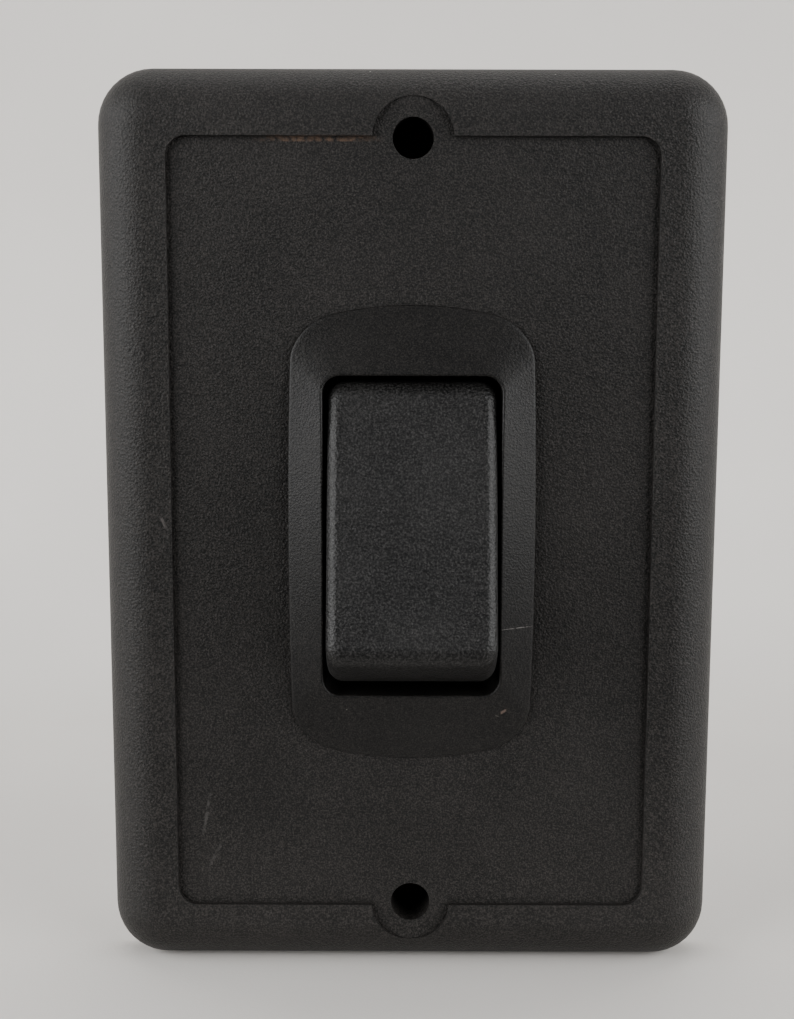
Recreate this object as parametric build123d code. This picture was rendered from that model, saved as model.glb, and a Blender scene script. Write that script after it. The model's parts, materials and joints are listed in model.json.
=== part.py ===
from build123d import *
import math
import os

# Rocker wall switch, millimetres. +X is to the right of somebody facing the switch, +Z is up and
# +Y goes into the wall. The origin is midway between the two mounting holes, on the wall's surface.

# wall plate
HOLE_SPACING = 96.84        # 3 13/16 in between the two mounting screws
PLATE_W = 78.0
PLATE_H = 114.3
PLATE_DEPTH = 8.5           # wall's surface to the front of the rim
PLATE_CORNER_R = 7.0
RIM_ROUND_R = 6.4
SHELL_T = 2.5
PANEL_W = 59.9
PANEL_H = 97.2
PANEL_CORNER_R = 2.5
PANEL_RECESS = 0.75
PANEL_EDGE_R = 0.4
HOLE_R = 2.5
SPOTFACE_R = 5.0
HOLE_BOSS_R = 5.0

# bezel
SWITCH_Z = -0.3             # height of the switch's centre, a little under the plate's
BEZEL_W = 30.8              # at mid-height
BEZEL_H = 57.5              # at the middle of its arched ends
BEZEL_ARCH_R = 46.0
BEZEL_BOW = 0.45            # how far the sides bulge between the corners
BEZEL_CORNER_R = 5.5
CROWN_RISE = 3.3            # crest above the panel at mid-height
CROWN_R = 150.0
CROWN_HALF_W = 11.3         # half width of the crown before its sides slope away
EDGE_RISE = 1.5             # outer edge above the panel at mid-height
END_RISE = 0.25             # outer edge above the panel at the arched ends
CROWN_SWING_DEG = 30.0      # how far the crown's cross-section is swung, top to bottom
CROWN_MARGIN = 2.0          # the crown is drawn this much larger than the outline that trims it
CROWN_DEPTH = 6.0
LIP_OVERLAP = 12.0          # the end slopes start this far inside the opening
OPENING_W = 22.0
OPENING_H = 40.2
OPENING_R = 1.5
NECK_WALL = 1.5
NECK_END_Y = -0.5
FIT_GAP = 0.1               # between the neck and what surrounds it
CLAMP_DZ = 26.2             # case screws, above and below the switch's centre
CLAMP_BOSS_R = 2.2

# rocker
PIVOT_Y = -3.5
TILT_DEG = 15.0             # each way from the middle position
ROCKER_W = 21.0
ROCKER_FACE = 10.55         # pivot to the flat face
ROCKER_END_R = 19.2
ROCKER_END_FRONT = 1.25     # the end arcs are centred this far in front of the pivot
ROCKER_BACK = 1.0           # walls reach this far behind the pivot
ROCKER_WALL = 1.6
ROCKER_FACE_T = 2.0
ROCKER_SIDE_R = 1.35
ROCKER_END_EDGE_R = 0.8
TRUNNION_R = 1.5
TRUNNION_HOLE_R = 1.55
TRUNNION_END_X = 12.3
SOCKET_R = 2.7
SOCKET_BORE_R = 2.0
SOCKET_END = 3.5
SOCKET_FLOOR = -5.5

# plungers and their springs, measured from the pivot along the plunger's own axis
POLE_X = 6.0
PLUNGER_R = 1.93
PLUNGER_BORE_R = 1.35
PLUNGER_START = -0.5
PLUNGER_BORE_END = 3.0
PLUNGER_SHOULDER = 7.0
PLUNGER_TIP_R = 1.2
PLUNGER_END = 9.0
SPRING_COIL_R = 1.05
SPRING_WIRE_R = 0.19
SPRING_TURNS = 9

# case
CASE_WALL = 1.5
CASE_FLANGE_W = 30.0
CASE_FLANGE_H = 58.6
CASE_FLANGE_T = 2.0
CASE_END_Y = 9.0
CASE_CORNER_R = 3.0
PARTITION_T = 1.2
PARTITION_Y = 2.6
POST_Y = 3.4
POST_W = 4.6
POST_OVERLAP = 0.3          # the posts run this far into the case's walls
BASE_SCREW_X = 10.4
BASE_SCREW_DZ = 19.7

# contacts and terminals
BLADE_PIVOT_Y = 6.0
BLADE_TILT_DEG = 6.0        # each way from the middle position
BLADE_T = 0.6
BLADE_W = 3.6
WING_DEG = 14.0
WING_Z = 8.5
PAD_LENGTH = 4.0
EAR_HALF = 3.3
EAR_HEIGHT = 0.8
NOTCH_R = 0.55
LUG_X = 2.6
METAL_T = 0.8
LUG_HALF_Z = 2.0
LUG_FRONT_Y = 5.0
CONTACT_R = 1.5
CONTACT_T = 0.8
RIVET_R = 0.9
RIVET_HEAD_R = 1.3
RIVET_HEAD_T = 0.4
CONTACT_GAP = 0.05
TAB_W = 6.3
TAB_END_Y = 20.0
TAB_CORNER = 1.0
TAB_BELOW = 1.2             # lower edge of a load plate under its contact
PLATE_ABOVE = 0.5           # upper edge of a load plate over its contact
STOP_H = 2.4                # rest for the open end of a blade
BASE_T = 3.0
TAB_SLOT_GAP = 0.1

# screws
CASE_SCREW_R = 1.2
CASE_SCREW_HEAD_R = 2.5
CASE_SCREW_HEAD_T = 1.7
BASE_SCREW_R = 0.95
BASE_SCREW_HEAD_R = 1.9
BASE_SCREW_HEAD_T = 1.3
# shares of the head's thickness or radius
HEAD_ROUND = 0.45
HEAD_SLOT_DEPTH = 0.6
HEAD_SLOT_LENGTH = 1.1
HEAD_SLOT_WIDTH = 0.28
SCREW_SHORT = 0.1           # a case screw ends this far behind the panel's front
BASE_SCREW_SHORT = 1.2      # a base screw ends this far behind the posts' front

PANEL_Y = -(PLATE_DEPTH - PANEL_RECESS)
PANEL_BACK_Y = PANEL_Y + SHELL_T
CREST_Y = PANEL_Y - CROWN_RISE
NECK_W = OPENING_W + 2 * NECK_WALL
NECK_H = OPENING_H + 2 * NECK_WALL
NECK_R = OPENING_R + 0.5
CAVITY_W = NECK_W + 2 * FIT_GAP
CAVITY_H = NECK_H + 2 * FIT_GAP
FLANGE_BACK_Y = PANEL_BACK_Y + CASE_FLANGE_T
BASE_BACK_Y = CASE_END_Y + BASE_T
SIDES = {"left": -POLE_X, "right": POLE_X}


def slab(sketch, y_front, y_back, x=0.0, z=0.0):
    """The sketch, drawn as seen from the front, as a solid between two depths."""
    plane = Plane(origin=(x, y_back, z), x_dir=(1, 0, 0), z_dir=(0, -1, 0))
    return extrude(plane * sketch, amount=y_back - y_front)


def rod(radius, y_front, y_back, x=0.0, z=0.0):
    return slab(Circle(radius), y_front, y_back, x, z)


def side_profile(points, half_width):
    """A closed outline of (y, z) points, thickened evenly to both sides of x = 0."""
    wire = Polyline([(0, y, z) for y, z in points], close=True)
    return extrude(make_face(wire), amount=half_width, dir=(1, 0, 0), both=True)


def front_edges(solid, y):
    """The edges that lie wholly at one depth."""
    return [e for e in solid.edges() if abs(e.bounding_box().min.Y - y) < 1e-4
            and abs(e.bounding_box().max.Y - y) < 1e-4]


def screw(radius, length, head_r, head_t, x, y, z):
    """A screw driven from behind: head behind depth y, shank in front of it."""
    body = rod(radius, y - length, y, x, z) + rod(head_r, y, y + head_t, x, z)
    rim = front_edges(body, y + head_t)
    body = fillet(rim, head_t * HEAD_ROUND)
    long, wide = head_r * HEAD_SLOT_LENGTH, head_r * HEAD_SLOT_WIDTH
    cross = Rectangle(long, wide) + Rectangle(wide, long)
    return body - slab(cross, y + head_t * (1 - HEAD_SLOT_DEPTH), y + head_t + 1, x, z)


def wall_plate():
    body = slab(RectangleRounded(PLATE_W, PLATE_H, PLATE_CORNER_R), -PLATE_DEPTH, 0)
    body = fillet(front_edges(body, -PLATE_DEPTH), RIM_ROUND_R)
    recess = RectangleRounded(PANEL_W, PANEL_H, PANEL_CORNER_R)
    for z in (-HOLE_SPACING / 2, HOLE_SPACING / 2):
        recess += Pos(0, z) * Circle(SPOTFACE_R)
    body -= slab(recess, -PLATE_DEPTH - 1, PANEL_Y)
    step_sides = [e for e in front_edges(body, -PLATE_DEPTH)
                  if abs(abs(e.center().X) - PANEL_W / 2) < 0.01]
    body = fillet(step_sides, PANEL_EDGE_R)
    hollow = slab(RectangleRounded(PLATE_W - 2 * SHELL_T, PLATE_H - 2 * SHELL_T,
                                   PLATE_CORNER_R - SHELL_T), PANEL_BACK_Y, 1)
    hollow = fillet(front_edges(hollow, PANEL_BACK_Y), RIM_ROUND_R - SHELL_T)
    for z in (-HOLE_SPACING / 2, HOLE_SPACING / 2):
        hollow -= rod(HOLE_BOSS_R, PANEL_BACK_Y - 1, 2, 0, z)
    body -= hollow
    for z in (-HOLE_SPACING / 2, HOLE_SPACING / 2):
        body -= rod(HOLE_R, -PLATE_DEPTH - 1, 1, 0, z)
    window = RectangleRounded(CAVITY_W, CAVITY_H, NECK_R + FIT_GAP)
    body -= slab(window, PANEL_Y - 1, PANEL_BACK_Y + 1, 0, SWITCH_Z)
    for dz in (-CLAMP_DZ, CLAMP_DZ):
        body -= rod(CLAMP_BOSS_R + FIT_GAP, PANEL_Y - 1, PANEL_BACK_Y + 1, 0, SWITCH_Z + dz)
    return body


def bezel_outline():
    """Arched ends and very slightly bowed sides, with rounded corners."""
    half_w = BEZEL_W / 2
    half_h = BEZEL_H / 2
    corner_x = half_w - BEZEL_BOW
    corner_z = half_h - BEZEL_ARCH_R + math.sqrt(BEZEL_ARCH_R ** 2 - corner_x ** 2)
    edges = [
        ThreePointArc((-corner_x, corner_z), (0, half_h), (corner_x, corner_z)),
        ThreePointArc((corner_x, corner_z), (half_w, 0), (corner_x, -corner_z)),
        ThreePointArc((corner_x, -corner_z), (0, -half_h), (-corner_x, -corner_z)),
        ThreePointArc((-corner_x, -corner_z), (-half_w, 0), (-corner_x, corner_z)),
    ]
    face = make_face(edges)
    return fillet(face.vertices(), BEZEL_CORNER_R)


def swung(section, axis_y):
    """A cross-section swung a little up and down about a level axis behind the wall."""
    axis = Axis((0, axis_y, 0), (1, 0, 0))
    return revolve(make_face(section), axis, CROWN_SWING_DEG).rotate(axis, -CROWN_SWING_DEG / 2)


def crown():
    """The bezel's front: it falls away from the opening on all four sides."""
    reach = BEZEL_W / 2 + CROWN_MARGIN
    side_fall = (CROWN_RISE - EDGE_RISE) / (BEZEL_W / 2 - CROWN_HALF_W)
    slope_y = CREST_Y + (reach - CROWN_HALF_W) * side_fall
    back_y = PANEL_Y + CROWN_DEPTH
    section = Polyline([(-reach, slope_y), (-CROWN_HALF_W, CREST_Y), (CROWN_HALF_W, CREST_Y),
                        (reach, slope_y), (reach, back_y), (-reach, back_y)], close=True)
    top = swung(section, CREST_Y + CROWN_R)
    lip_z = OPENING_H / 2
    lip_rise = CROWN_RISE - lip_z ** 2 / (2 * CROWN_R)
    end_fall = (lip_rise - END_RISE) / (BEZEL_H / 2 - lip_z)
    far_z = BEZEL_H / 2 + CROWN_MARGIN
    far_y = PANEL_Y - END_RISE + CROWN_MARGIN * end_fall
    near_z = lip_z - LIP_OVERLAP
    near_y = PANEL_Y - lip_rise - LIP_OVERLAP * end_fall
    ends = side_profile([(back_y, -far_z), (far_y, -far_z), (near_y, -near_z), (near_y, near_z),
                         (far_y, far_z), (back_y, far_z)], reach)
    return top & ends


def edge_ledge():
    """The low rim that keeps the bezel's edge proud of the panel all the way round."""
    reach = BEZEL_W / 2 + CROWN_MARGIN
    edge_y = PANEL_Y - EDGE_RISE
    radius = (BEZEL_H / 2) ** 2 / (2 * (EDGE_RISE - END_RISE + 0.05))
    back_y = PANEL_Y + CROWN_DEPTH
    section = Polyline([(-reach, edge_y), (reach, edge_y), (reach, back_y), (-reach, back_y)], close=True)
    return swung(section, edge_y + radius)


def switch_bezel():
    front = (crown() + edge_ledge()) & slab(bezel_outline(), CREST_Y - 1, PANEL_Y)
    opening = RectangleRounded(OPENING_W, OPENING_H, OPENING_R)
    front -= slab(opening, CREST_Y - 2, PANEL_Y + 1)
    neck = RectangleRounded(NECK_W, NECK_H, NECK_R) - opening
    body = front + slab(neck, PANEL_Y, NECK_END_Y)
    for dz in (-CLAMP_DZ, CLAMP_DZ):
        body += rod(CLAMP_BOSS_R, PANEL_Y, PANEL_BACK_Y, 0, dz)
        body -= rod(CASE_SCREW_R + 0.02, PANEL_Y, PANEL_BACK_Y + 1, 0, dz)
    bore = Pos(0, PIVOT_Y, 0) * Rot(0, 90, 0) * Cylinder(TRUNNION_HOLE_R, NECK_W + 2)
    return Pos(0, 0, SWITCH_Z) * (body - bore)


def rocker_solid(end_r, face_y, half_width):
    """A block whose two ends are arcs about a line just in front of the pivot, in the middle position."""
    z_face = math.sqrt(end_r ** 2 - (face_y - ROCKER_END_FRONT) ** 2)
    z_back = math.sqrt(end_r ** 2 - (ROCKER_BACK + ROCKER_END_FRONT) ** 2)
    centre_y = -ROCKER_END_FRONT
    edges = [
        Line((0, -face_y, -z_face), (0, -face_y, z_face)),
        ThreePointArc((0, -face_y, z_face), (0, centre_y, end_r), (0, ROCKER_BACK, z_back)),
        Line((0, ROCKER_BACK, z_back), (0, ROCKER_BACK, -z_back)),
        ThreePointArc((0, ROCKER_BACK, -z_back), (0, centre_y, -end_r), (0, -face_y, -z_face)),
    ]
    return extrude(make_face(edges), amount=half_width, dir=(1, 0, 0), both=True)


def rocker():
    body = rocker_solid(ROCKER_END_R, ROCKER_FACE, ROCKER_W / 2)
    face_edges = front_edges(body, -ROCKER_FACE)
    long_edges = [e for e in face_edges if e.bounding_box().size.Z > 5]
    body = fillet(long_edges, ROCKER_SIDE_R)
    end_edges = [e for e in front_edges(body, -ROCKER_FACE) if e.bounding_box().size.Z < 0.01]
    body = fillet(end_edges, ROCKER_END_EDGE_R)
    inside_half = ROCKER_W / 2 - ROCKER_WALL
    hollow = rocker_solid(ROCKER_END_R - ROCKER_WALL, ROCKER_FACE - ROCKER_FACE_T, inside_half)
    open_back = front_edges(hollow, ROCKER_BACK)[0].bounding_box()
    hollow += slab(Rectangle(2 * inside_half, 2 * max(abs(open_back.min.Z), abs(open_back.max.Z))),
                   0, ROCKER_BACK + 1)
    body -= hollow
    web = slab(Rectangle(2 * inside_half, ROCKER_WALL), -ROCKER_FACE + 1, ROCKER_BACK)
    body += web
    for x in SIDES.values():
        body += rod(SOCKET_R, -ROCKER_FACE + 1, SOCKET_END, x)
        body -= rod(SOCKET_BORE_R, SOCKET_FLOOR, SOCKET_END + 1, x)
    for side in (-1, 1):
        length = TRUNNION_END_X - inside_half
        centre_x = side * (inside_half + length / 2)
        body += Pos(centre_x, 0, 0) * Rot(0, 90, 0) * Cylinder(TRUNNION_R, length)
    return seat(body)


def seat(solid):
    """From the rocker's own middle position to where it rests, with its top pressed in."""
    return Pos(0, PIVOT_Y, SWITCH_Z) * Rot(-TILT_DEG, 0, 0) * solid


def plunger(x):
    body = rod(PLUNGER_R, PLUNGER_START, PLUNGER_SHOULDER, x)
    tip_centre = PLUNGER_END - PLUNGER_TIP_R
    body += rod(PLUNGER_TIP_R, PLUNGER_SHOULDER, tip_centre, x)
    body += Pos(x, tip_centre, 0) * Sphere(PLUNGER_TIP_R)
    body -= rod(PLUNGER_BORE_R, PLUNGER_START - 1, PLUNGER_BORE_END, x)
    return seat(body)


def plunger_spring(x):
    start = SOCKET_FLOOR + SPRING_WIRE_R
    length = PLUNGER_BORE_END - SPRING_WIRE_R - start
    helix = Helix(pitch=length / SPRING_TURNS, height=length, radius=SPRING_COIL_R)
    section = Plane(origin=helix @ 0, z_dir=helix % 0) * Circle(SPRING_WIRE_R)
    coil = sweep(section, path=helix, is_frenet=True)
    return seat(Pos(x, start, 0) * Rot(-90, 0, 0) * coil)


def blade_lines():
    """Half of the blade's middle line as (y, z) points, from the pivot to the tip of its pad."""
    wing_y = -WING_Z * math.tan(math.radians(WING_DEG))
    pad_y = wing_y - PAD_LENGTH * math.tan(math.radians(BLADE_TILT_DEG))
    return [(0, 0), (wing_y, WING_Z), (pad_y, WING_Z + PAD_LENGTH)]


def pad_centre():
    (y0, z0), (y1, z1) = blade_lines()[1:]
    return (y0 + y1) / 2, (z0 + z1) / 2


def seat_blade(solid):
    """From the blade's own middle position to where it rests, with its lower end pressed back."""
    return Pos(0, BLADE_PIVOT_Y, SWITCH_Z) * Rot(BLADE_TILT_DEG, 0, 0) * solid


def pad_level():
    """Depth and height of the lower pad's middle when the contacts are closed."""
    y, z = pad_centre()
    turn = math.radians(BLADE_TILT_DEG)
    depth = y * math.cos(turn) + z * math.sin(turn)
    return BLADE_PIVOT_Y + depth, SWITCH_Z + y * math.sin(turn) - z * math.cos(turn)


def contact_blade(x):
    half = blade_lines()
    line = [(y, -z) for y, z in half[:0:-1]] + half
    front = [(y - BLADE_T / 2, z) for y, z in line]
    back = [(y + BLADE_T / 2, z) for y, z in line]
    body = side_profile(front + back[::-1], BLADE_W / 2)
    body += Box(2 * EAR_HALF, BLADE_T, EAR_HEIGHT)
    y, z = pad_centre()
    rivet_hole = Pos(0, y, -z) * Rot(-BLADE_TILT_DEG, 0, 0) * Rot(90, 0, 0) * Cylinder(RIVET_R, 4)
    return Pos(x, 0, 0) * seat_blade(body - rivet_hole)


def blade_contact(x):
    """The moving contact: a rivet through the blade's lower pad, square to the closed position."""
    y, z = pad_level()
    front = y - BLADE_T / 2
    back = y + BLADE_T / 2
    body = rod(RIVET_R, front, back, x, z)
    body += rod(CONTACT_R, back, back + CONTACT_T, x, z)
    return body + rod(RIVET_HEAD_R, front - RIVET_HEAD_T, front, x, z)


def contact_face_y():
    return pad_level()[0] + BLADE_T / 2 + CONTACT_T + CONTACT_GAP


def load_plate_y():
    return contact_face_y() + CONTACT_T


def load_tab_z():
    return pad_level()[1] - CONTACT_R - TAB_BELOW


def fixed_contact(x):
    y, z = contact_face_y(), pad_level()[1]
    return rod(CONTACT_R, y, y + CONTACT_T, x, z) + rod(RIVET_R, y, y + CONTACT_T + METAL_T, x, z)


def tab(x, y_front, z):
    """A flat quick-connect tab with its end corners cut back."""
    blade = slab(Rectangle(TAB_W, METAL_T), y_front, TAB_END_Y, x, z)
    ends = [e for e in blade.edges() if abs(e.center().Y - TAB_END_Y) < 0.01
            and e.bounding_box().size.Z > 0.1]
    return chamfer(ends, TAB_CORNER)


def load_terminal(x):
    y = load_plate_y()
    z = pad_level()[1]
    tab_z = load_tab_z()
    top_z = z + CONTACT_R + PLATE_ABOVE
    plate = slab(Rectangle(TAB_W, top_z - tab_z), y, y + METAL_T, x, (top_z + tab_z) / 2)
    body = plate + tab(x, y, tab_z)
    return body - rod(RIVET_R, y - 1, y + METAL_T + 1, x, z)


def common_terminal(x):
    floor_y = CASE_END_Y - METAL_T
    width = 2 * LUG_X + METAL_T
    body = slab(Rectangle(width, 2 * LUG_HALF_Z), floor_y, CASE_END_Y, x, SWITCH_Z)
    for side in (-1, 1):
        lug = slab(Rectangle(METAL_T, 2 * LUG_HALF_Z), LUG_FRONT_Y, CASE_END_Y, x + side * LUG_X, SWITCH_Z)
        body += lug
    notch = Pos(x, BLADE_PIVOT_Y, SWITCH_Z) * Rot(0, 90, 0) * Cylinder(NOTCH_R, width + 1)
    mouth = slab(Rectangle(width + 1, 2 * NOTCH_R), LUG_FRONT_Y - 1, BLADE_PIVOT_Y, x, SWITCH_Z)
    return body + tab(x, floor_y, SWITCH_Z) - notch - mouth


def switch_case():
    flange = RectangleRounded(CASE_FLANGE_W, CASE_FLANGE_H, CASE_CORNER_R)
    tub = RectangleRounded(CAVITY_W + 2 * CASE_WALL, CAVITY_H + 2 * CASE_WALL, CASE_CORNER_R)
    cavity = RectangleRounded(CAVITY_W, CAVITY_H, NECK_R + FIT_GAP)
    body = slab(flange, PANEL_BACK_Y, FLANGE_BACK_Y) + slab(tub, PANEL_BACK_Y, CASE_END_Y)
    body -= slab(cavity, PANEL_BACK_Y - 1, CASE_END_Y + 1)
    body += slab(Rectangle(PARTITION_T, CAVITY_H + 1), PARTITION_Y, CASE_END_Y)
    for x in (-1, 1):
        for z in (-1, 1):
            post_x = x * (CAVITY_W / 2 - POST_W / 2 + POST_OVERLAP)
            post_z = z * (CAVITY_H / 2 - POST_W / 2 + POST_OVERLAP)
            body += slab(Rectangle(POST_W, POST_W), POST_Y, CASE_END_Y, post_x, post_z)
            body -= rod(BASE_SCREW_R + 0.05, POST_Y + 1, CASE_END_Y + 1, x * BASE_SCREW_X, z * BASE_SCREW_DZ)
    for dz in (-CLAMP_DZ, CLAMP_DZ):
        body -= rod(CASE_SCREW_R + 0.2, PANEL_BACK_Y - 1, FLANGE_BACK_Y + 1, 0, dz)
    return Pos(0, 0, SWITCH_Z) * body


def terminal_base():
    outline = RectangleRounded(CAVITY_W + 2 * CASE_WALL, CAVITY_H + 2 * CASE_WALL, CASE_CORNER_R)
    body = slab(outline, CASE_END_Y, BASE_BACK_Y, 0, SWITCH_Z)
    pad_y, pad_z = pad_level()
    slot = Rectangle(TAB_W + 2 * TAB_SLOT_GAP, METAL_T + 2 * TAB_SLOT_GAP)
    seat_bottom = load_tab_z() + METAL_T / 2 + TAB_SLOT_GAP
    seat_top = pad_z + CONTACT_R + PLATE_ABOVE
    stop_z = 2 * SWITCH_Z - pad_z
    for x in SIDES.values():
        body += slab(Rectangle(TAB_W, seat_top - seat_bottom), load_plate_y() + METAL_T, CASE_END_Y,
                     x, (seat_top + seat_bottom) / 2)
        body += slab(Rectangle(BLADE_W, STOP_H), pad_y + BLADE_T / 2 + CONTACT_GAP, CASE_END_Y, x, stop_z)
        body -= slab(slot, CASE_END_Y - 1, BASE_BACK_Y + 1, x, load_tab_z())
        body -= slab(slot, CASE_END_Y - 1, BASE_BACK_Y + 1, x, SWITCH_Z)
        for side in (-1, 1):
            body -= rod(BASE_SCREW_R + 0.2, CASE_END_Y - 1, BASE_BACK_Y + 1,
                        math.copysign(BASE_SCREW_X, x), SWITCH_Z + side * BASE_SCREW_DZ)
    return body


def case_screws():
    length = FLANGE_BACK_Y - PANEL_Y - SCREW_SHORT
    return Compound(children=[
        screw(CASE_SCREW_R, length, CASE_SCREW_HEAD_R, CASE_SCREW_HEAD_T, 0, FLANGE_BACK_Y, SWITCH_Z + dz)
        for dz in (-CLAMP_DZ, CLAMP_DZ)])


def base_screws():
    length = BASE_BACK_Y - POST_Y - BASE_SCREW_SHORT
    return Compound(children=[
        screw(BASE_SCREW_R, length, BASE_SCREW_HEAD_R, BASE_SCREW_HEAD_T, x, BASE_BACK_Y, SWITCH_Z + dz)
        for x in (-BASE_SCREW_X, BASE_SCREW_X) for dz in (-BASE_SCREW_DZ, BASE_SCREW_DZ)])


parts = {
    "wall_plate": wall_plate(),
    "switch_bezel": switch_bezel(),
    "switch_case": switch_case(),
    "terminal_base": terminal_base(),
    "rocker": rocker(),
    "case_screws": case_screws(),
    "base_screws": base_screws(),
}
for side, x in SIDES.items():
    parts["plunger_" + side] = plunger(x)
    parts["plunger_spring_" + side] = plunger_spring(x)
    parts["contact_blade_" + side] = contact_blade(x)
    parts["blade_contact_" + side] = blade_contact(x)
    parts["fixed_contact_" + side] = fixed_contact(x)
    parts["common_terminal_" + side] = common_terminal(x)
    parts["load_terminal_" + side] = load_terminal(x)

os.makedirs("parts", exist_ok=True)
for name, solid in parts.items():
    export_step(solid, "parts/" + name + ".step")
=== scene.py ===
# %% [markdown]
# # A rocker wall switch
#
# A black moulded wall plate carries one wide rocker in a crowned bezel. The plate, the bezel and the
# rocker are the pieces somebody sees and touches, so they are modelled here in full. The case, the
# terminals and the contacts behind them have plain shapes that come with the frame, and get the
# finish of the real material.

# %% Load the frame
import bpy
import bmesh
import json
import math
from mathutils import Matrix, Vector


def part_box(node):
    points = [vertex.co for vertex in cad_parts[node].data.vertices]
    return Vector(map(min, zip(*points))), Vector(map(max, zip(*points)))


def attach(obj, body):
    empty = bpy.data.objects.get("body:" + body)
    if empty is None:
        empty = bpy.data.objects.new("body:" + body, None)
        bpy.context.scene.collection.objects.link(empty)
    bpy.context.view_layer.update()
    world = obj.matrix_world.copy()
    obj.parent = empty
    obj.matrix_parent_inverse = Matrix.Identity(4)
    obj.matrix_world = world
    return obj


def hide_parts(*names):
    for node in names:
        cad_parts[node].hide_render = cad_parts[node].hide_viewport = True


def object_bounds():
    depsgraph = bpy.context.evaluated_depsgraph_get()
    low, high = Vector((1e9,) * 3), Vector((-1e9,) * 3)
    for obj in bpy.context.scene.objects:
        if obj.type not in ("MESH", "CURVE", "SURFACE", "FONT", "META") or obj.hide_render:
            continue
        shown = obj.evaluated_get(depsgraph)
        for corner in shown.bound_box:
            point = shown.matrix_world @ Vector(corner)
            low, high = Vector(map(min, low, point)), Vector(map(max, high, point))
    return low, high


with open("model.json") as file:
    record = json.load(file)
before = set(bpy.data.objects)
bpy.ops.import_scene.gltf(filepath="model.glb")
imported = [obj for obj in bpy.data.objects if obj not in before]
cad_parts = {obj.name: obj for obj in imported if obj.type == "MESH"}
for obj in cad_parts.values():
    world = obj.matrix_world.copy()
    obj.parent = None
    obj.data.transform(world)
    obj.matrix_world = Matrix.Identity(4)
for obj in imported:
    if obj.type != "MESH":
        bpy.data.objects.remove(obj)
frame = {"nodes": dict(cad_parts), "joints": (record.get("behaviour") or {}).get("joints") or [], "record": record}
cad_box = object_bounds()
nodes = frame["nodes"]
record = frame["record"]
mounts = {mount["name"]: mount for mount in record["mounts"]}
joints = {joint["name"]: joint for joint in frame["joints"]}

# %% [markdown]
# ## Sizes
#
# The pieces are modelled in millimetres and made metres at the end, because the radii of mouldings
# are small round numbers of millimetres. The cloth and the lights are given in metres. The places
# come from the frame: the plate's box, the spacing of its holes and the rocker's pivot.

# %% Sizes from the frame
MM = 0.001


def box_mm(node):
    low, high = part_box(node)
    return Vector(low) / MM, Vector(high) / MM


plate_low, plate_high = box_mm("wall_plate")
plate_half_w = plate_high.x
plate_half_h = plate_high.z
front_y = plate_low.y
hole_z = mounts["mounting_holes"]["dims"]["spacing_y_mm"] / 2
hole_r = mounts["mounting_holes"]["dims"]["hole_r_mm"]
pivot = Vector(joints["rocker_hinge"]["pos_m"]) / MM
rest_tilt = -math.radians(joints["rocker_hinge"]["range_deg"][1] / 2)
switch_z = pivot.z
print("plate half size", plate_half_w, plate_half_h, "front at", front_y, "pivot", pivot[:])

# %% [markdown]
# ## Helpers for shapes
#
# A moulding is mostly one closed outline that changes as it goes from front to back. The first
# helper makes such an outline as a face with rounded corners; the second walks an outline through
# a list of places by extruding its edges, which gives clean rings of quads. Holes are then cut with
# Boolean modifiers, as a drill or a mould's core pin would.

# %% Outlines, rings and cuts
CORNER_STEPS = 10
SIDE_CUTS = 13


def plan_face(bm, half_w, half_h, radius, y, cuts=0):
    """A face with rounded corners at depth y that looks at the room; its sides may be cut finer."""
    grid = bmesh.ops.create_grid(bm, x_segments=1, y_segments=1, size=1.0)
    corners = grid["verts"]
    bmesh.ops.rotate(bm, verts=corners, cent=(0, 0, 0), matrix=Matrix.Rotation(math.pi / 2, 3, "X"))
    bmesh.ops.scale(bm, verts=corners, vec=(half_w, 1, half_h))
    bmesh.ops.translate(bm, verts=corners, vec=(0, y, 0))
    rounded = bmesh.ops.bevel(bm, geom=corners, offset=radius, affect="VERTICES", segments=CORNER_STEPS,
                              profile=0.5, material=-1)
    face = next(f for f in bm.faces if any(v in f.verts for v in rounded["verts"]))
    if cuts:
        long_edges = [e for e in face.edges if e.calc_length() > 2 * radius]
        bmesh.ops.subdivide_edges(bm, edges=long_edges, cuts=cuts)
    return face


def loop_places(half_w, half_h, radius, cuts=SIDE_CUTS):
    """The corners of one rounded outline in walking order, as flat (x, z) places."""
    bm = bmesh.new()
    face = plan_face(bm, half_w, half_h, radius, 0, cuts)
    places = [Vector((v.co.x, 0, v.co.z)) for v in face.verts]
    start = max(range(len(places)), key=lambda i: places[i].x * 0.01 + places[i].z)
    places = places[start:] + places[:start]
    bm.free()
    return places


def skin(bm, rings):
    """Joins rings of places, each ring as long as the first, with bands of quads."""
    ring_verts = [bm.verts.new(p) for p in rings[0]]
    edges = [bm.edges.new((ring_verts[i - 1], ring_verts[i])) for i in range(len(ring_verts))]
    first = list(edges)
    for places in rings[1:]:
        grown = bmesh.ops.extrude_edge_only(bm, edges=edges)["geom"]
        new_verts = {v for v in grown if isinstance(v, bmesh.types.BMVert)}
        edges = [e for e in grown if isinstance(e, bmesh.types.BMEdge)
                 and e.verts[0] in new_verts and e.verts[1] in new_verts]
        follow = []
        for old in ring_verts:
            follow.append(next(e.other_vert(old) for e in old.link_edges if e.other_vert(old) in new_verts))
        for vert, place in zip(follow, places):
            vert.co = place
        ring_verts = follow
    return first, edges


def pull_in(places, half_h, depth):
    """Moves places towards the middle plane, most at mid-height: long mould walls shrink inwards."""
    for place in places:
        share = max(0.0, 1 - (place.z / half_h) ** 2)
        place.x -= math.copysign(min(depth * share, abs(place.x)), place.x)


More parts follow.
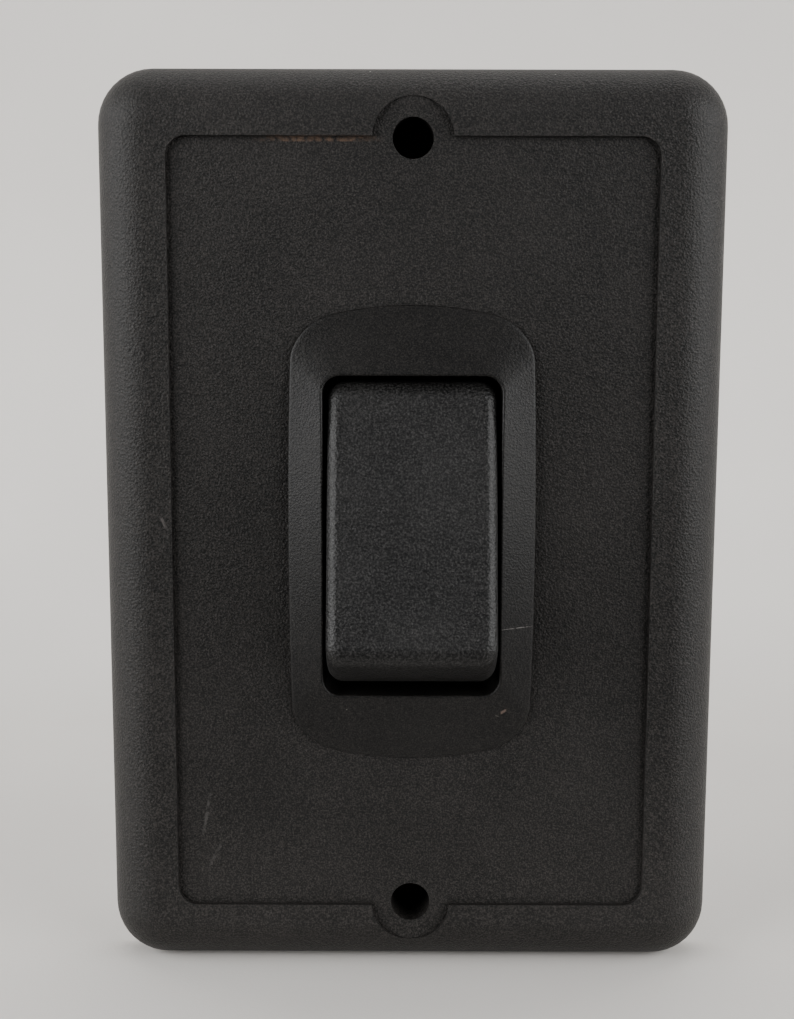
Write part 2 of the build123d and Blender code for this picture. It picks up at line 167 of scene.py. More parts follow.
def as_piece(bm, name):
    """Ends a bmesh: merged, facing outwards, in metres, as a new object."""
    bmesh.ops.remove_doubles(bm, verts=bm.verts, dist=0.0005)
    bmesh.ops.recalc_face_normals(bm, faces=bm.faces)
    bmesh.ops.scale(bm, verts=bm.verts, vec=(MM, MM, MM))
    mesh = bpy.data.meshes.new(name)
    bm.to_mesh(mesh)
    bm.free()
    piece = bpy.data.objects.new(name, mesh)
    bpy.context.scene.collection.objects.link(piece)
    return piece


def combine(piece, tool, operation):
    """Cuts or joins a tool object with a Boolean, applies it, and throws the tool away."""
    cut = piece.modifiers.new("cut", "BOOLEAN")
    cut.operation = operation
    cut.solver = "EXACT"
    cut.object = tool
    bpy.context.view_layer.update()
    done = bpy.data.meshes.new_from_object(piece.evaluated_get(bpy.context.evaluated_depsgraph_get()))
    piece.modifiers.remove(cut)
    old = piece.data
    piece.data = done
    done.name = piece.name
    bpy.data.meshes.remove(old)
    bpy.data.meshes.remove(tool.data)


def bar(radius, start, end, sides=64):
    """A round bar between two places, for a pin, a boss or a drill."""
    bm = bmesh.new()
    start = Vector(start)
    along = Vector(end) - start
    turn = Vector((0, 0, 1)).rotation_difference(along)
    place = Matrix.Translation(start + along / 2) @ turn.to_matrix().to_4x4()
    bmesh.ops.create_cone(bm, cap_ends=True, segments=sides, radius1=radius, radius2=radius,
                          depth=along.length, matrix=place)
    return as_piece(bm, "tool")


def block(half_w, half_h, radius, y_front, y_back, x=0.0, z=0.0):
    """A slab with a rounded outline between two depths."""
    bm = bmesh.new()
    face = plan_face(bm, half_w, half_h, radius, y_back) if radius else None
    if face is None:
        bmesh.ops.create_cube(bm, size=1)
        bmesh.ops.scale(bm, verts=bm.verts, vec=(2 * half_w, y_back - y_front, 2 * half_h))
        bmesh.ops.translate(bm, verts=bm.verts, vec=(0, (y_back + y_front) / 2, 0))
    else:
        grown = bmesh.ops.extrude_face_region(bm, geom=[face], use_keep_orig=True)["geom"]
        moved = [g for g in grown if isinstance(g, bmesh.types.BMVert)]
        bmesh.ops.translate(bm, verts=moved, vec=(0, y_front - y_back, 0))
    bmesh.ops.translate(bm, verts=bm.verts, vec=(x, 0, z))
    return as_piece(bm, "tool")


def soften(piece, width, steps, chosen):
    """Rounds the edges sharper than 25 degrees that the test picks; the test sees an edge's middle in millimetres.
    """
    bm = bmesh.new()
    bm.from_mesh(piece.data)
    picked = [e for e in bm.edges if len(e.link_faces) == 2 and e.calc_face_angle(0) > math.radians(25)
              and chosen((e.verts[0].co + e.verts[1].co) / 2 / MM)]
    bmesh.ops.bevel(bm, geom=picked, offset=width * MM, affect="EDGES", segments=steps, profile=0.5,
                    material=-1, clamp_overlap=True)
    bm.to_mesh(piece.data)
    bm.free()
    print(piece.name, "rounded", len(picked), "edges to", width, "mm")


def smooth(piece, angle=32):
    """Smooth shading that keeps flat faces flat beside small rounded edges."""
    for polygon in piece.data.polygons:
        polygon.use_smooth = True
    piece.data.set_sharp_from_angle(angle=math.radians(angle))
    weighted = piece.modifiers.new("flat faces stay flat", "WEIGHTED_NORMAL")
    weighted.keep_sharp = True
    print(piece.name, len(piece.data.vertices), "vertices")


# %% [markdown]
# ## The wall plate
#
# The plate is an injection moulding: a shell with a generous round all the way round its front edge,
# and a panel that is let into the front by less than a millimetre. Two screw holes sit on the
# panel's edge in round seats. The body is extruded from its outline and its front edge bevelled,
# and the panel, seats, holes and hollow are cut out of it. The edges are then softened, because a
# moulded edge is never sharp, and the light that runs along them is what shows the panel.

# %% The plate's body
PLATE_CORNER_R = 7.0
RIM_ROUND_R = 6.4
PANEL_HALF_W = 29.95
PANEL_HALF_H = 48.6
PANEL_CORNER_R = 2.5
PANEL_RECESS = 0.75
SHELL = 2.5
SEAT_R = 5.0
BOSS_R = 5.0
WINDOW_GAP = 0.1
STEP_ROUND = 0.5
MOUTH_ROUND = 0.3
panel_y = front_y + PANEL_RECESS
panel_back_y = panel_y + SHELL


def rounded_slab(half_w, half_h, corner_r, back_y, depth_y, round_r, name):
    """A slab from back_y forward to depth_y with its front edge rounded."""
    bm = bmesh.new()
    face = plan_face(bm, half_w, half_h, corner_r, back_y)
    grown = bmesh.ops.extrude_face_region(bm, geom=[face], use_keep_orig=True)["geom"]
    front = [g for g in grown if isinstance(g, bmesh.types.BMVert)]
    bmesh.ops.translate(bm, verts=front, vec=(0, depth_y - back_y, 0))
    rim = [e for e in bm.edges if all(abs(v.co.y - depth_y) < 1e-4 for v in e.verts)]
    bmesh.ops.bevel(bm, geom=rim, offset=round_r, affect="EDGES", segments=16, profile=0.5, material=-1)
    return as_piece(bm, name)


plate = rounded_slab(plate_half_w, plate_half_h, PLATE_CORNER_R, 0, front_y, RIM_ROUND_R, "plate_moulding")
hollow = rounded_slab(plate_half_w - SHELL, plate_half_h - SHELL, PLATE_CORNER_R - SHELL, 1, panel_back_y,
                      RIM_ROUND_R - SHELL, "tool")
for side in (-1, 1):
    combine(hollow, bar(BOSS_R, (0, panel_back_y - 1, side * hole_z), (0, 2, side * hole_z)), "DIFFERENCE")
combine(plate, hollow, "DIFFERENCE")

# %% Panel, seats, holes and window
recess = block(PANEL_HALF_W, PANEL_HALF_H, PANEL_CORNER_R, front_y - 1, panel_y)
for side in (-1, 1):
    combine(recess, bar(SEAT_R, (0, front_y - 1, side * hole_z), (0, panel_y, side * hole_z)), "UNION")
combine(plate, recess, "DIFFERENCE")


def is_step(p):
    return abs(p.y - front_y) < 0.02 and abs(p.x) < PANEL_HALF_W + 0.1 and abs(p.z) < plate_half_h - 7.5


soften(plate, STEP_ROUND, 4, is_step)
neck_high = box_mm("switch_bezel")[1]
OPENING_HALF_W = 11.0
OPENING_HALF_H = 20.1
OPENING_R = 2.2
NECK_WALL = 1.5
NECK_R = 2.0
CLAMP_DZ = 26.2
CLAMP_BOSS_R = 2.2
window_half_w = OPENING_HALF_W + NECK_WALL + WINDOW_GAP
window_half_h = OPENING_HALF_H + NECK_WALL + WINDOW_GAP
window = block(window_half_w, window_half_h, NECK_R, panel_y - 1, panel_back_y + 1, 0, switch_z)
combine(plate, window, "DIFFERENCE")
for side in (-1, 1):
    boss_z = switch_z + side * CLAMP_DZ
    boss_room = bar(CLAMP_BOSS_R + WINDOW_GAP, (0, panel_y - 1, boss_z), (0, panel_back_y + 1, boss_z), 32)
    combine(plate, boss_room, "DIFFERENCE")
    drill = bar(hole_r, (0, front_y - 1, side * hole_z), (0, 1, side * hole_z))
    combine(plate, drill, "DIFFERENCE")


def is_hole_mouth(p):
    from_axis = math.hypot(p.x, abs(p.z) - hole_z)
    return abs(p.y - panel_y) < 0.02 and abs(from_axis - hole_r) < 0.05


soften(plate, MOUTH_ROUND, 3, is_hole_mouth)
smooth(plate)
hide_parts("wall_plate")
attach(plate, "housing")

# %% [markdown]
# ## The bezel
#
# The bezel is a softer, smoother moulding with arched ends. Its front falls away from the rocker's
# opening on all four sides, and is crowned along its length, so it stands proud at the middle and
# runs almost flush with the panel at its ends. Rings of places from the opening's lip to the outer
# edge give this surface; the same walk then goes round the back of the flange and down the neck that
# holds the rocker, so the whole piece is one closed shell.

# %% The bezel's rings
BEZEL_HALF_W = 15.4
BEZEL_HALF_H = 28.75
BEZEL_ARCH_R = 46.0
BEZEL_BOW = 0.45
BEZEL_CORNER_R = 5.0
CROWN_RISE = 3.3
CROWN_R = 150.0
EDGE_RISE = 1.5
END_RISE = 0.25
LIP_SINK = 0.16
LIP_ROUND = 0.35
EDGE_ROUND = 0.22
FLANK_RINGS = 12
neck_end_y = neck_high.y


def bend_outline(place):
    """Turns a plain rounded rectangle into the bezel's outline with arched ends and bowed sides."""
    arch = BEZEL_ARCH_R - math.sqrt(BEZEL_ARCH_R ** 2 - place.x ** 2)
    along = abs(place.z) / BEZEL_HALF_H
    x = place.x * (1 - BEZEL_BOW * along ** 2 / BEZEL_HALF_W)
    return Vector((x, 0, place.z - math.copysign(arch * along ** 2, place.z)))


def crest_rise(z):
    return CROWN_RISE - z * z / (2 * CROWN_R)


def edge_rise(z):
    return EDGE_RISE - (EDGE_RISE - END_RISE) * (z / BEZEL_HALF_H) ** 2


def front_place(lip, rim, t):
    """A place on the bezel's front, t of the way from the opening's lip to the outer edge."""
    flat = lip.lerp(rim, t)
    rise = edge_rise(flat.z) + (crest_rise(flat.z) - edge_rise(flat.z)) * (1 - t)
    return Vector((flat.x, panel_y - rise, flat.z))


def at_depth(places, y):
    return [Vector((p.x, y, p.z)) for p in places]


lip = loop_places(OPENING_HALF_W + LIP_SINK / 2, OPENING_HALF_H, OPENING_R)
pull_in(lip, OPENING_HALF_H, LIP_SINK)
rim = [bend_outline(p) for p in loop_places(BEZEL_HALF_W, BEZEL_HALF_H, BEZEL_CORNER_R)]
neck = loop_places(OPENING_HALF_W + NECK_WALL, OPENING_HALF_H + NECK_WALL, NECK_R)
rings = [at_depth(lip, neck_end_y)]
rings += [[front_place(a, b, k / FLANK_RINGS) for a, b in zip(lip, rim)] for k in range(FLANK_RINGS + 1)]
rings += [at_depth(rim, panel_y), at_depth(neck, panel_y), at_depth(neck, neck_end_y)]
bm = bmesh.new()
first, last = skin(bm, rings)
bmesh.ops.bridge_loops(bm, edges=first + last)


def ring_edges(bm, places):
    """The edges of one ring, found by where it is."""
    spots = {(round(p.x, 3), round(p.y, 3), round(p.z, 3)) for p in places}
    on = {v for v in bm.verts if (round(v.co.x, 3), round(v.co.y, 3), round(v.co.z, 3)) in spots}
    return [e for e in bm.edges if e.verts[0] in on and e.verts[1] in on]


bmesh.ops.bevel(bm, geom=ring_edges(bm, rings[1]), offset=LIP_ROUND, affect="EDGES", segments=5, profile=0.5,
                material=-1)
outer = ring_edges(bm, rings[1 + FLANK_RINGS])
bmesh.ops.bevel(bm, geom=outer, offset=EDGE_ROUND, affect="EDGES", segments=4, profile=0.5, material=-1)
bmesh.ops.translate(bm, verts=bm.verts, vec=(0, 0, switch_z))
bezel = as_piece(bm, "bezel_moulding")

# %% The bezel's bosses and bearings
TRUNNION_R = 1.5
TRUNNION_GAP = 0.05
PILOT_R = 1.22
for side in (-1, 1):
    boss_z = switch_z + side * CLAMP_DZ
    combine(bezel, bar(CLAMP_BOSS_R, (0, panel_y - 0.05, boss_z), (0, panel_back_y, boss_z), 32), "UNION")
    combine(bezel, bar(PILOT_R, (0, panel_y, boss_z), (0, panel_back_y + 1, boss_z), 24), "DIFFERENCE")
bearing = bar(TRUNNION_R + TRUNNION_GAP, (-14, pivot.y, pivot.z), (14, pivot.y, pivot.z), 48)
combine(bezel, bearing, "DIFFERENCE")
smooth(bezel, 40)
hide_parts("switch_bezel")
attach(bezel, "housing")

# %% [markdown]
# ## The rocker
#
# The rocker is a hollow moulding that turns on two stub trunnions. Its face is flat and its two ends
# are arcs about a line just in front of the pivot, so the gap to the bezel moves by only a third of a
# millimetre each way while it tips. The ends are spun about that line, which is how such a curve is
# meant to be made, and the edges round the face are bevelled. It is made level and then tipped to
# where it rests.

# %% The rocker's body
ROCKER_HALF_W = 10.5
ROCKER_FACE = 10.55
ROCKER_END_R = 19.2
ROCKER_END_FRONT = 1.25
ROCKER_BACK = 1.0
ROCKER_WALL = 1.6
ROCKER_FACE_T = 2.0
ROCKER_CORNER_R = 2.0
ROCKER_EDGE_R = 1.5
ROCKER_SINK = 0.13
END_STEPS = 6


def rocker_block(half_w, face, end_r, back, name, rounded):
    """A block with a flat face in front and arcs about a line near the pivot for its ends."""
    bm = bmesh.new()
    to_face, to_back = face - ROCKER_END_FRONT, back + ROCKER_END_FRONT
    z_face = math.sqrt(end_r ** 2 - to_face ** 2)
    pair = [bm.verts.new((x, -face, z_face)) for x in (-half_w, half_w)]
    start = bm.edges.new(pair)
    sweep = math.asin(to_face / end_r) + math.asin(to_back / end_r)
    bmesh.ops.spin(bm, geom=pair + [start], cent=(0, -ROCKER_END_FRONT, 0), axis=(1, 0, 0), dvec=(0, 0, 0),
                   angle=-sweep, steps=END_STEPS, use_merge=False, use_duplicate=False)
    copy = bmesh.ops.duplicate(bm, geom=bm.verts[:] + bm.edges[:] + bm.faces[:])["geom"]
    bmesh.ops.scale(bm, verts=[g for g in copy if isinstance(g, bmesh.types.BMVert)], vec=(1, 1, -1))
    for y in (-face, back):
        rows = [e for e in bm.edges if all(abs(v.co.y - y) < 1e-3 for v in e.verts)]
        bmesh.ops.bridge_loops(bm, edges=rows)
    bmesh.ops.holes_fill(bm, edges=[e for e in bm.edges if e.is_boundary])
    bmesh.ops.recalc_face_normals(bm, faces=bm.faces)
    if rounded:
        corners = [e for e in bm.edges if abs(abs(e.verts[0].co.x) - half_w) < 1e-3
                   and abs(e.verts[0].co.x - e.verts[1].co.x) < 1e-3 and e.calc_length() < 3
                   and abs((e.verts[0].co.z + e.verts[1].co.z) / 2) > z_face]
        bmesh.ops.bevel(bm, geom=corners, offset=ROCKER_CORNER_R, affect="EDGES", segments=8, profile=0.5,
                        material=-1)
        edge = [e for e in bm.edges if all(abs(v.co.y + face) < 1e-3 for v in e.verts)]
        bmesh.ops.bevel(bm, geom=edge, offset=ROCKER_EDGE_R, affect="EDGES", segments=8, profile=0.5,
                        material=-1)
    return as_piece(bm, name)


rocker = rocker_block(ROCKER_HALF_W, ROCKER_FACE, ROCKER_END_R, ROCKER_BACK, "rocker_moulding", True)
pull_in([v.co for v in rocker.data.vertices if abs(v.co.x) > ROCKER_HALF_W * 0.9 * MM],
        ROCKER_END_R * MM, ROCKER_SINK * MM)
inside_half_w = ROCKER_HALF_W - ROCKER_WALL
inside = rocker_block(inside_half_w, ROCKER_FACE - ROCKER_FACE_T, ROCKER_END_R - ROCKER_WALL,
                      ROCKER_BACK + 2, "tool", False)
combine(rocker, inside, "DIFFERENCE")

# %% Sockets, web and trunnions
SOCKET_R = 2.7
SOCKET_BORE_R = 2.0
SOCKET_END = 3.5
SOCKET_FLOOR = -5.5
TRUNNION_END = 12.3
inner_face = -(ROCKER_FACE - 1)
combine(rocker, block(inside_half_w + 0.4, ROCKER_WALL / 2, 0, inner_face, ROCKER_BACK), "UNION")
plungers = {side: joints["blade_hinge_" + side]["pos_m"][0] / MM for side in ("left", "right")}
for side, x in plungers.items():
    combine(rocker, bar(SOCKET_R, (x, inner_face, 0), (x, SOCKET_END, 0)), "UNION")
    combine(rocker, bar(SOCKET_BORE_R, (x, SOCKET_FLOOR, 0), (x, SOCKET_END + 1, 0)), "DIFFERENCE")
    out = math.copysign(1, x)
    stub = bar(TRUNNION_R, (out * (inside_half_w + 0.5), 0, 0), (out * TRUNNION_END, 0, 0), 48)
    combine(rocker, stub, "UNION")
rocker.data.transform(Matrix.Translation(pivot * MM) @ Matrix.Rotation(rest_tilt, 4, "X"))
smooth(rocker)
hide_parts("rocker")
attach(rocker, "rocker")

# %% [markdown]
# ## Helpers for finishes
#
# Colours are written as the sRGB values somebody would read off a swatch, and one function turns
# them to the linear values that the renderer works in. A second function adds one node with its
# settings and links. Patterns read Object coordinates, which are metres, so a grain of g
# millimetres needs a scale of 1000 / g.

# %% Colour and node helpers


def linear(hex_colour):
    parts = [int(hex_colour[i:i + 2], 16) / 255 for i in (1, 3, 5)]
    return [p / 12.92 if p <= 0.04045 else ((p + 0.055) / 1.055) ** 2.4 for p in parts] + [1.0]


def per_mm(size):
    """The texture scale whose features are about this many millimetres wide."""
    return 1 / (size * MM)


def add(material, kind, settings=(), **inputs):
    """Adds one node; an input is a value or another node's output, named with _ for a space."""
    tree = material.node_tree
    node = tree.nodes.new(kind)
    for key, value in dict(settings).items():
        setattr(node, key, value)
    for key, value in inputs.items():
        number = key[1:] if key[0] == "i" and key[1:].isdigit() else None
        socket = node.inputs[int(number)] if number else node.inputs[key.replace("_", " ")]
        if isinstance(value, bpy.types.NodeSocket):
            tree.links.new(value, socket)
        else:
            socket.default_value = value
    return node


def new_finish(name):
    material = bpy.data.materials.new(name)
    material.use_nodes = True
    material.node_tree.nodes.clear()
    place = add(material, "ShaderNodeTexCoord").outputs["Object"]
    return material, place


def finished(material, **inputs):
    """Closes a finish with one Principled shader."""
    shader = add(material, "ShaderNodeBsdfPrincipled", **inputs)
    add(material, "ShaderNodeOutputMaterial", Surface=shader.outputs[0])
    return material


# %% [markdown]
# ## Black moulded plastics
#
# The plate is ABS from a spark-eroded mould: the mould's pitted steel leaves a matt skin with a
# grain of about a fifth of a millimetre. The bezel comes from a finer, polished mould, and the
# rocker from one with a coarser grain that glitters a little. One function makes them and the
# hidden nylon and phenolic, because they differ only in colour, grain, gloss and dust. Handling
# leaves pale dust in the grain, and faint grey and brown scuffs. A scuff is placed across the front
# only, so it goes through to the inside of the same wall.

# %% Marks of use


def rubbed(material, place, centre, half_length, half_width, slant, strength):
    """How rubbed the skin is: a streak about a place in mm, turned by slant degrees, worn unevenly."""
    middle = Vector((centre[0], 0, centre[1])) * MM
    off = add(material, "ShaderNodeVectorMath", {"operation": "SUBTRACT"}, i0=place, i1=middle)
    turned = add(material, "ShaderNodeVectorRotate", {"rotation_type": "Y_AXIS"}, Vector=off.outputs[0],
                 Angle=math.radians(slant))
    parts = add(material, "ShaderNodeSeparateXYZ", Vector=turned.outputs[0])
    mask = None
    for socket, half in ((parts.outputs[0], half_length), (parts.outputs[2], half_width)):
        size = add(material, "ShaderNodeMath", {"operation": "ABSOLUTE"}, i0=socket)
        fade = add(material, "ShaderNodeMapRange", {"interpolation_type": "SMOOTHSTEP"},
                   Value=size.outputs[0], i1=half * 0.4 * MM, i2=half * MM, i3=1.0, i4=0.0)
        mask = fade.outputs[0] if mask is None else add(material, "ShaderNodeMath", {"operation": "MULTIPLY"},
                                                        i0=mask, i1=fade.outputs[0]).outputs[0]
    patchy = add(material, "ShaderNodeTexNoise", Vector=place, Scale=per_mm(0.7), Detail=3.0)
    worn = add(material, "ShaderNodeMapRange", Value=patchy.outputs[0], i1=0.38, i2=0.62, i3=0.0, i4=strength)
    return add(material, "ShaderNodeMath", {"operation": "MULTIPLY"}, i0=mask, i1=worn.outputs[0]).outputs[0]


# each mark: colour, place (x, z) in mm, half length, half width, slant in degrees, strength
plate_marks = [
    ("#5d4a3c", (-11.5, 48.3), 8.5, 0.45, 0, 0.8),
    ("#4b4947", (-26.2, -36.5), 3.6, 0.28, -100, 0.45),
    ("#4b4947", (-25.2, -42.2), 2.4, 0.26, -118, 0.45),
    ("#4a4644", (-31.0, 1.5), 1.2, 0.25, -65, 0.8),
]
bezel_marks = [
    ("#6a6764", (13.1, -11.6), 2.6, 0.07, 3, 1.1),
    ("#6a5a52", (11.7, -22.6), 0.7, 0.25, 30, 0.9),
    ("#5b5853", (10.9, -23.2), 0.35, 0.12, -20, 0.9),
]

# %% Finish of moulded black plastic


def moulded_black(name, colour, pale, roughness, grain, depth, cloud, dust_spacing, gloss, marks=()):
    material, place = new_finish(name)
    fine = add(material, "ShaderNodeTexNoise", Vector=place, Scale=per_mm(grain), Detail=3.0, Roughness=0.6)
    pits = add(material, "ShaderNodeTexVoronoi", {"feature": "F1"}, Vector=place, Scale=per_mm(grain * 1.6))
    broad = add(material, "ShaderNodeTexNoise", Vector=place, Scale=per_mm(cloud), Detail=4.0, Roughness=0.55)
    # dust: a speck in few of the cells, because only the cells with a high random value keep theirs
    cells = add(material, "ShaderNodeTexVoronoi", {"feature": "F1"}, Vector=place, Scale=per_mm(dust_spacing))
    speck = add(material, "ShaderNodeMapRange", Value=cells.outputs["Distance"], i1=0.016, i2=0.030,
                i3=1.0, i4=0.0)
    lucky = add(material, "ShaderNodeMapRange", Value=cells.outputs["Color"], i1=0.62, i2=0.66,
                i3=0.0, i4=1.0)
    dust = add(material, "ShaderNodeMath", {"operation": "MULTIPLY"}, i0=speck.outputs[0],
               i1=lucky.outputs[0])
    tone = add(material, "ShaderNodeMapRange", Value=fine.outputs[0], i1=0.43, i2=0.70, i3=0.0, i4=1.0)
    cloudy = add(material, "ShaderNodeMapRange", Value=broad.outputs[0], i1=0.3, i2=0.7, i3=-0.06, i4=0.10)
    both = add(material, "ShaderNodeMath", {"operation": "ADD", "use_clamp": True}, i0=tone.outputs[0],
               i1=cloudy.outputs[0])
    skin_tone = add(material, "ShaderNodeMix", {"data_type": "RGBA"}, i0=both.outputs[0], i6=linear(colour),
                    i7=linear(pale))
    dusty = add(material, "ShaderNodeMix", {"data_type": "RGBA"}, i0=dust.outputs[0],
                i6=skin_tone.outputs[2], i7=linear("#8a8780"))
    skin = dusty.outputs[2]
    for mark_colour, *where in marks:
        mask = rubbed(material, place, *where)
        skin = add(material, "ShaderNodeMix", {"data_type": "RGBA"}, i0=mask, i6=skin,
                   i7=linear(mark_colour)).outputs[2]
    dull = add(material, "ShaderNodeMapRange", Value=broad.outputs[0], i1=0.3, i2=0.7, i3=roughness - 0.03,
               i4=roughness + 0.04)
    height = add(material, "ShaderNodeMath", {"operation": "ADD"}, i0=fine.outputs[0], i1=pits.outputs[0])
    bump = add(material, "ShaderNodeBump", Strength=1.0, Distance=depth * MM, Height=height.outputs[0])
    return finished(material, Base_Color=skin, Roughness=dull.outputs[0], IOR=1.53,
                    Specular_IOR_Level=gloss, Normal=bump.outputs[0])


plate_abs = moulded_black("abs_spark_eroded_black", "#080807", "#322f2d", 0.50, 0.20, 0.060, 16.0, 4.5, 0.22,
                          plate_marks)
bezel_abs = moulded_black("abs_fine_satin_black", "#060606", "#292725", 0.43, 0.18, 0.022, 12.0, 7.0, 0.22,
                          bezel_marks)
rocker_abs = moulded_black("abs_coarse_grain_black", "#030303", "#302f2e", 0.42, 0.24, 0.066, 10.0, 6.0, 0.26)
case_nylon = moulded_black("nylon_moulded_black", "#191919", "#2d2d2d", 0.5, 0.3, 0.02, 8.0, 12.0, 0.5)
base_phenolic = moulded_black("phenolic_moulded_brown", "#2a1a12", "#47301f", 0.38, 0.5, 0.012, 4.0, 12.0,
                              0.5)

# %% [markdown]
# ## Metals, springs and acetal
#
# The terminals are stamped from brass strip and the blades from a redder copper alloy; rolling
# leaves fine lines along the strip. The contacts are dull silver, the screws zinc plated, the
# springs drawn steel wire. The plungers are natural acetal, which is milky and a little waxy.

# %% Finish of metals and acetal


def worked_metal(name, colour, worn, roughness, line, stretch):
    material, place = new_finish(name)
    drawn = add(material, "ShaderNodeMapping", Vector=place, Scale=stretch)
    lines = add(material, "ShaderNodeTexNoise", Vector=drawn.outputs[0], Scale=per_mm(line), Detail=3.0)
    stain = add(material, "ShaderNodeTexNoise", Vector=place, Scale=per_mm(2.5), Detail=4.0)
    mix = add(material, "ShaderNodeMapRange", Value=stain.outputs[0], i1=0.38, i2=0.7, i3=0.0, i4=0.8)
    tone = add(material, "ShaderNodeMix", {"data_type": "RGBA"}, i0=mix.outputs[0], i6=linear(colour),
               i7=linear(worn))
    dull = add(material, "ShaderNodeMapRange", Value=stain.outputs[0], i1=0.3, i2=0.7, i3=roughness,
               i4=roughness + 0.15)
    bump = add(material, "ShaderNodeBump", Strength=1.0, Distance=0.006 * MM, Height=lines.outputs[0])
    return finished(material, Base_Color=tone.outputs[2], Metallic=1.0, Roughness=dull.outputs[0],
                    Normal=bump.outputs[0])


def milky_acetal(name):
    material, place = new_finish(name)
    flow = add(material, "ShaderNodeTexNoise", Vector=place, Scale=per_mm(1.2), Detail=3.0)
    tone = add(material, "ShaderNodeMix", {"data_type": "RGBA"}, i0=flow.outputs[0], i6=linear("#d9d4c6"),
               i7=linear("#ece9df"))
    bump = add(material, "ShaderNodeBump", Strength=1.0, Distance=0.005 * MM, Height=flow.outputs[0])
    return finished(material, Base_Color=tone.outputs[2], Roughness=0.35, IOR=1.48, Normal=bump.outputs[0])


finishes = {
    "plate": plate_abs,
    "bezel": bezel_abs,
    "rocker": rocker_abs,
    "case": case_nylon,
    "base": base_phenolic,
    "plunger": milky_acetal("acetal_natural"),
    "spring_steel": worked_metal("spring_wire_drawn", "#b5b6b8", "#85868a", 0.25, 0.08, (1, 6, 1)),
    "copper_alloy": worked_metal("copper_alloy_rolled", "#c98a5e", "#9c6543", 0.28, 0.12, (1, 1, 0.12)),
    "silver_contact": worked_metal("silver_alloy_contact", "#cfccc4", "#a3a099", 0.38, 0.15, (1, 1, 1)),
    "terminal_brass": worked_metal("brass_stamped", "#cfb06a", "#a5894c", 0.3, 0.12, (1, 0.12, 1)),
    "screw_steel": worked_metal("steel_zinc_plated", "#b4b6b8", "#8b8e90", 0.3, 0.15, (1, 1, 1)),
}
made = {"wall_plate": plate, "switch_bezel": bezel, "rocker": rocker}
for part in record["subparts"]:
    target = made.get(part["node"], nodes[part["node"]])
    target.data.materials.clear()
    target.data.materials.append(finishes[part["material_slot"]])
print("finishes:", len(finishes))

# %% [markdown]
# ## Floor, light and camera
#
# The switch stands on its lower edge on a pale cloth-grey sweep, which curves up behind it with no
# corner. Two large soft lights stand to its left and right and a weaker one hangs above, which is
# why the rounded sides of the plate and the rocker are brighter than their tops.

# %% The pale sweep
FLOOR_HALF = 0.45
TABLE_EDGE = -0.06
SWEEP_START = 0.10
SWEEP_R = 0.12
SWEEP_RISE = 0.6
bm = bmesh.new()
floor_z = cad_box[0][2]
line = [bm.verts.new((x, TABLE_EDGE, floor_z)) for x in (-FLOOR_HALF, FLOOR_HALF)]
edge = bm.edges.new(line)


def drag(bm, edges, offset):
    grown = bmesh.ops.extrude_edge_only(bm, edges=edges)["geom"]
    bmesh.ops.translate(bm, verts=[g for g in grown if isinstance(g, bmesh.types.BMVert)], vec=offset)
    far = [g for g in grown if isinstance(g, bmesh.types.BMVert)]
    return [g for g in grown if isinstance(g, bmesh.types.BMEdge) and all(v in far for v in g.verts)]


edges = drag(bm, [edge], (0, SWEEP_START - TABLE_EDGE, 0))
spun = bmesh.ops.spin(bm, geom=edges + [v for e in edges for v in e.verts], axis=(1, 0, 0),
                      cent=(0, SWEEP_START, floor_z + SWEEP_R), dvec=(0, 0, 0), angle=math.pi / 2, steps=24,
                      use_merge=False, use_duplicate=False)["geom_last"]
drag(bm, [g for g in spun if isinstance(g, bmesh.types.BMEdge)], (0, 0, SWEEP_RISE))
sweep_mesh = bpy.data.meshes.new("pale_sweep")
bmesh.ops.reverse_faces(bm, faces=bm.faces)  # the sheet's front is towards the switch
for face in bm.faces:
    face.smooth = True
bm.to_mesh(sweep_mesh)
bm.free()
sweep = bpy.data.objects.new("pale_sweep", sweep_mesh)
bpy.context.scene.collection.objects.link(sweep)
cloth, place = new_finish("cotton_cloth_pale")
weave = add(cloth, "ShaderNodeTexNoise", Vector=place, Scale=per_mm(0.35), Detail=2.0)
# painted shade: broad lighter and darker patches on the cloth stand in for the soft shade of its folds
fold_shade_blotches = add(cloth, "ShaderNodeTexNoise", Vector=place, Scale=per_mm(60), Detail=2.0)
tone = add(cloth, "ShaderNodeMix", {"data_type": "RGBA"}, i0=fold_shade_blotches.outputs[0], i6=linear("#cbc7c3"),
           i7=linear("#d8d5d0"))
bump = add(cloth, "ShaderNodeBump", Strength=0.25, Distance=0.1 * MM, Height=weave.outputs[0])
# seen from behind, the cloth is left out, so that the back of the switch can be looked at
facing = add(cloth, "ShaderNodeNewGeometry")
shown = add(cloth, "ShaderNodeMath", {"operation": "SUBTRACT"}, i0=1.0, i1=facing.outputs["Backfacing"])
finished(cloth, Base_Color=tone.outputs[2], Roughness=0.9, Alpha=shown.outputs[0], Normal=bump.outputs[0])
sweep.data.materials.append(cloth)
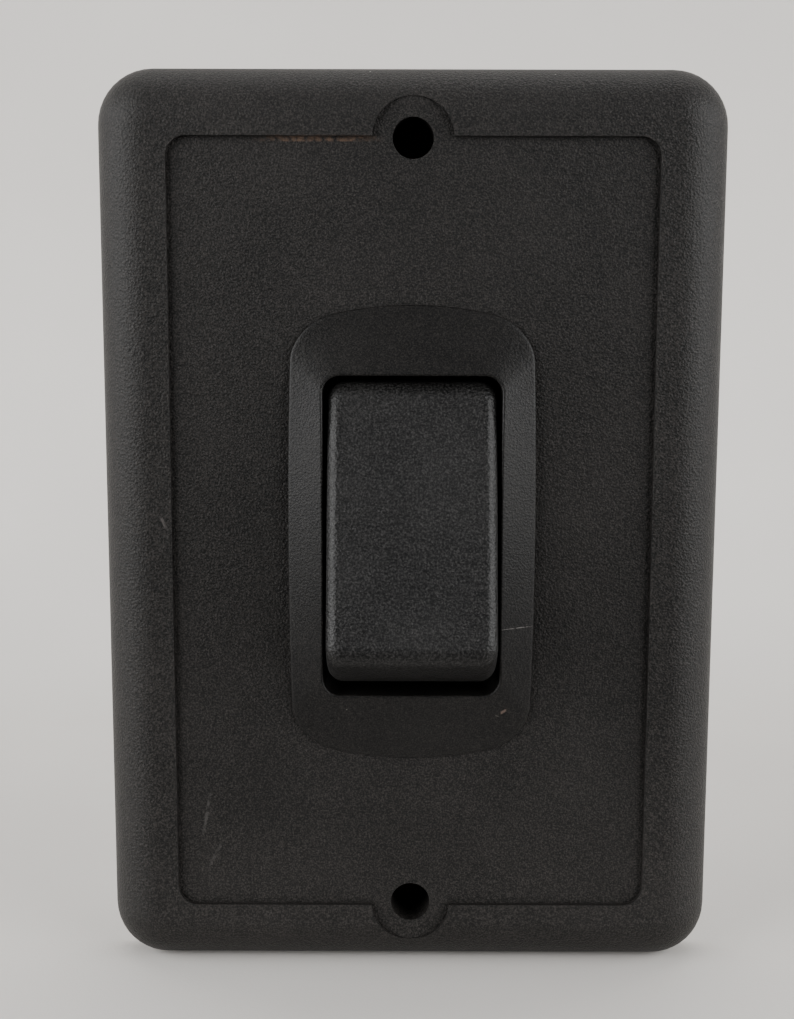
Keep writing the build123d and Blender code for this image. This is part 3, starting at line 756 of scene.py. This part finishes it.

# %% [markdown]
# A switch as narrow as this doesn't stand on its edge alone, and its screw holes are dark, so
# something dark props it up from behind. Two small pads of dark putty against the ends of the screw
# bosses do both: they are dark things behind the screw holes that make the holes show dark, which
# paints in the shade inside the holes. They belong to the table and not to the switch.

# %% The putty pads, dark behind the screw holes as painted shade
PUTTY_R = 4.2
PUTTY_T = 1.6
PUTTY_ROUND = 0.6
# painted shade: a dark brown pad behind each screw hole makes the hole show dark, as the shade inside it would
hole_shade_putty, place = new_finish("putty_dark_brown_painted_hole_shade")
lumps = add(hole_shade_putty, "ShaderNodeTexNoise", Vector=place, Scale=per_mm(1.5), Detail=3.0)
tone = add(hole_shade_putty, "ShaderNodeMix", {"data_type": "RGBA"}, i0=lumps.outputs[0], i6=linear("#120d09"),
           i7=linear("#3a2516"))
finished(hole_shade_putty, Base_Color=tone.outputs[2], Roughness=0.8)
for side in (-1, 1):
    pad = bar(PUTTY_R, (0, 0.05, side * hole_z), (0, PUTTY_T, side * hole_z), 48)
    pad.name = "putty_pad_top_hole_shade" if side > 0 else "putty_pad_bottom_hole_shade"
    soften(pad, PUTTY_ROUND, 4, lambda p: p.y > PUTTY_T / 2)
    smooth(pad)
    pad.data.materials.append(hole_shade_putty)

# %% Lights


def soft_light(name, watts, size, spot, target):
    lamp = bpy.data.lights.new(name, "AREA")
    lamp.shape = "RECTANGLE"
    lamp.size, lamp.size_y = size
    lamp.energy = watts
    holder = bpy.data.objects.new(name, lamp)
    bpy.context.scene.collection.objects.link(holder)
    aim = Vector(target) - Vector(spot)
    holder.matrix_world = Matrix.Translation(spot) @ aim.to_track_quat("-Z", "Y").to_matrix().to_4x4()


soft_light("window_left", 8.7, (0.8, 0.55), (-0.58, -0.28, 0.19), (0, 0, 0))
soft_light("window_right", 7.9, (0.8, 0.55), (0.58, -0.28, 0.19), (0, 0, 0))
soft_light("ceiling", 5.5, (0.9, 0.5), (0, 0.26, 0.75), (0, 0.28, 0))
ROOM_STRENGTH = 0.12
world = bpy.data.worlds.new("room")
bpy.context.scene.world = world
world.use_nodes = True
world.node_tree.nodes["Background"].inputs["Color"].default_value = linear("#d8d8da")
world.node_tree.nodes["Background"].inputs["Strength"].default_value = ROOM_STRENGTH

# %% Camera
CAMERA_PLACE = (-1.85, -198.8, 31.4)
CAMERA_PITCH = 8.44
CAMERA_ROLL = 0.15
FOCAL_SHARE = 1.516
lens = bpy.data.cameras.new("camera")
lens.sensor_fit = "VERTICAL"
lens.sensor_height = 36.0
lens.lens = FOCAL_SHARE * lens.sensor_height
lens.clip_start = 0.01
camera = bpy.data.objects.new("camera", lens)
bpy.context.scene.collection.objects.link(camera)
camera.matrix_world = (Matrix.Translation(Vector(CAMERA_PLACE) * MM)
                       @ Matrix.Rotation(math.radians(90 - CAMERA_PITCH), 4, "X")
                       @ Matrix.Rotation(math.radians(CAMERA_ROLL), 4, "Z"))
bpy.context.scene.camera = camera
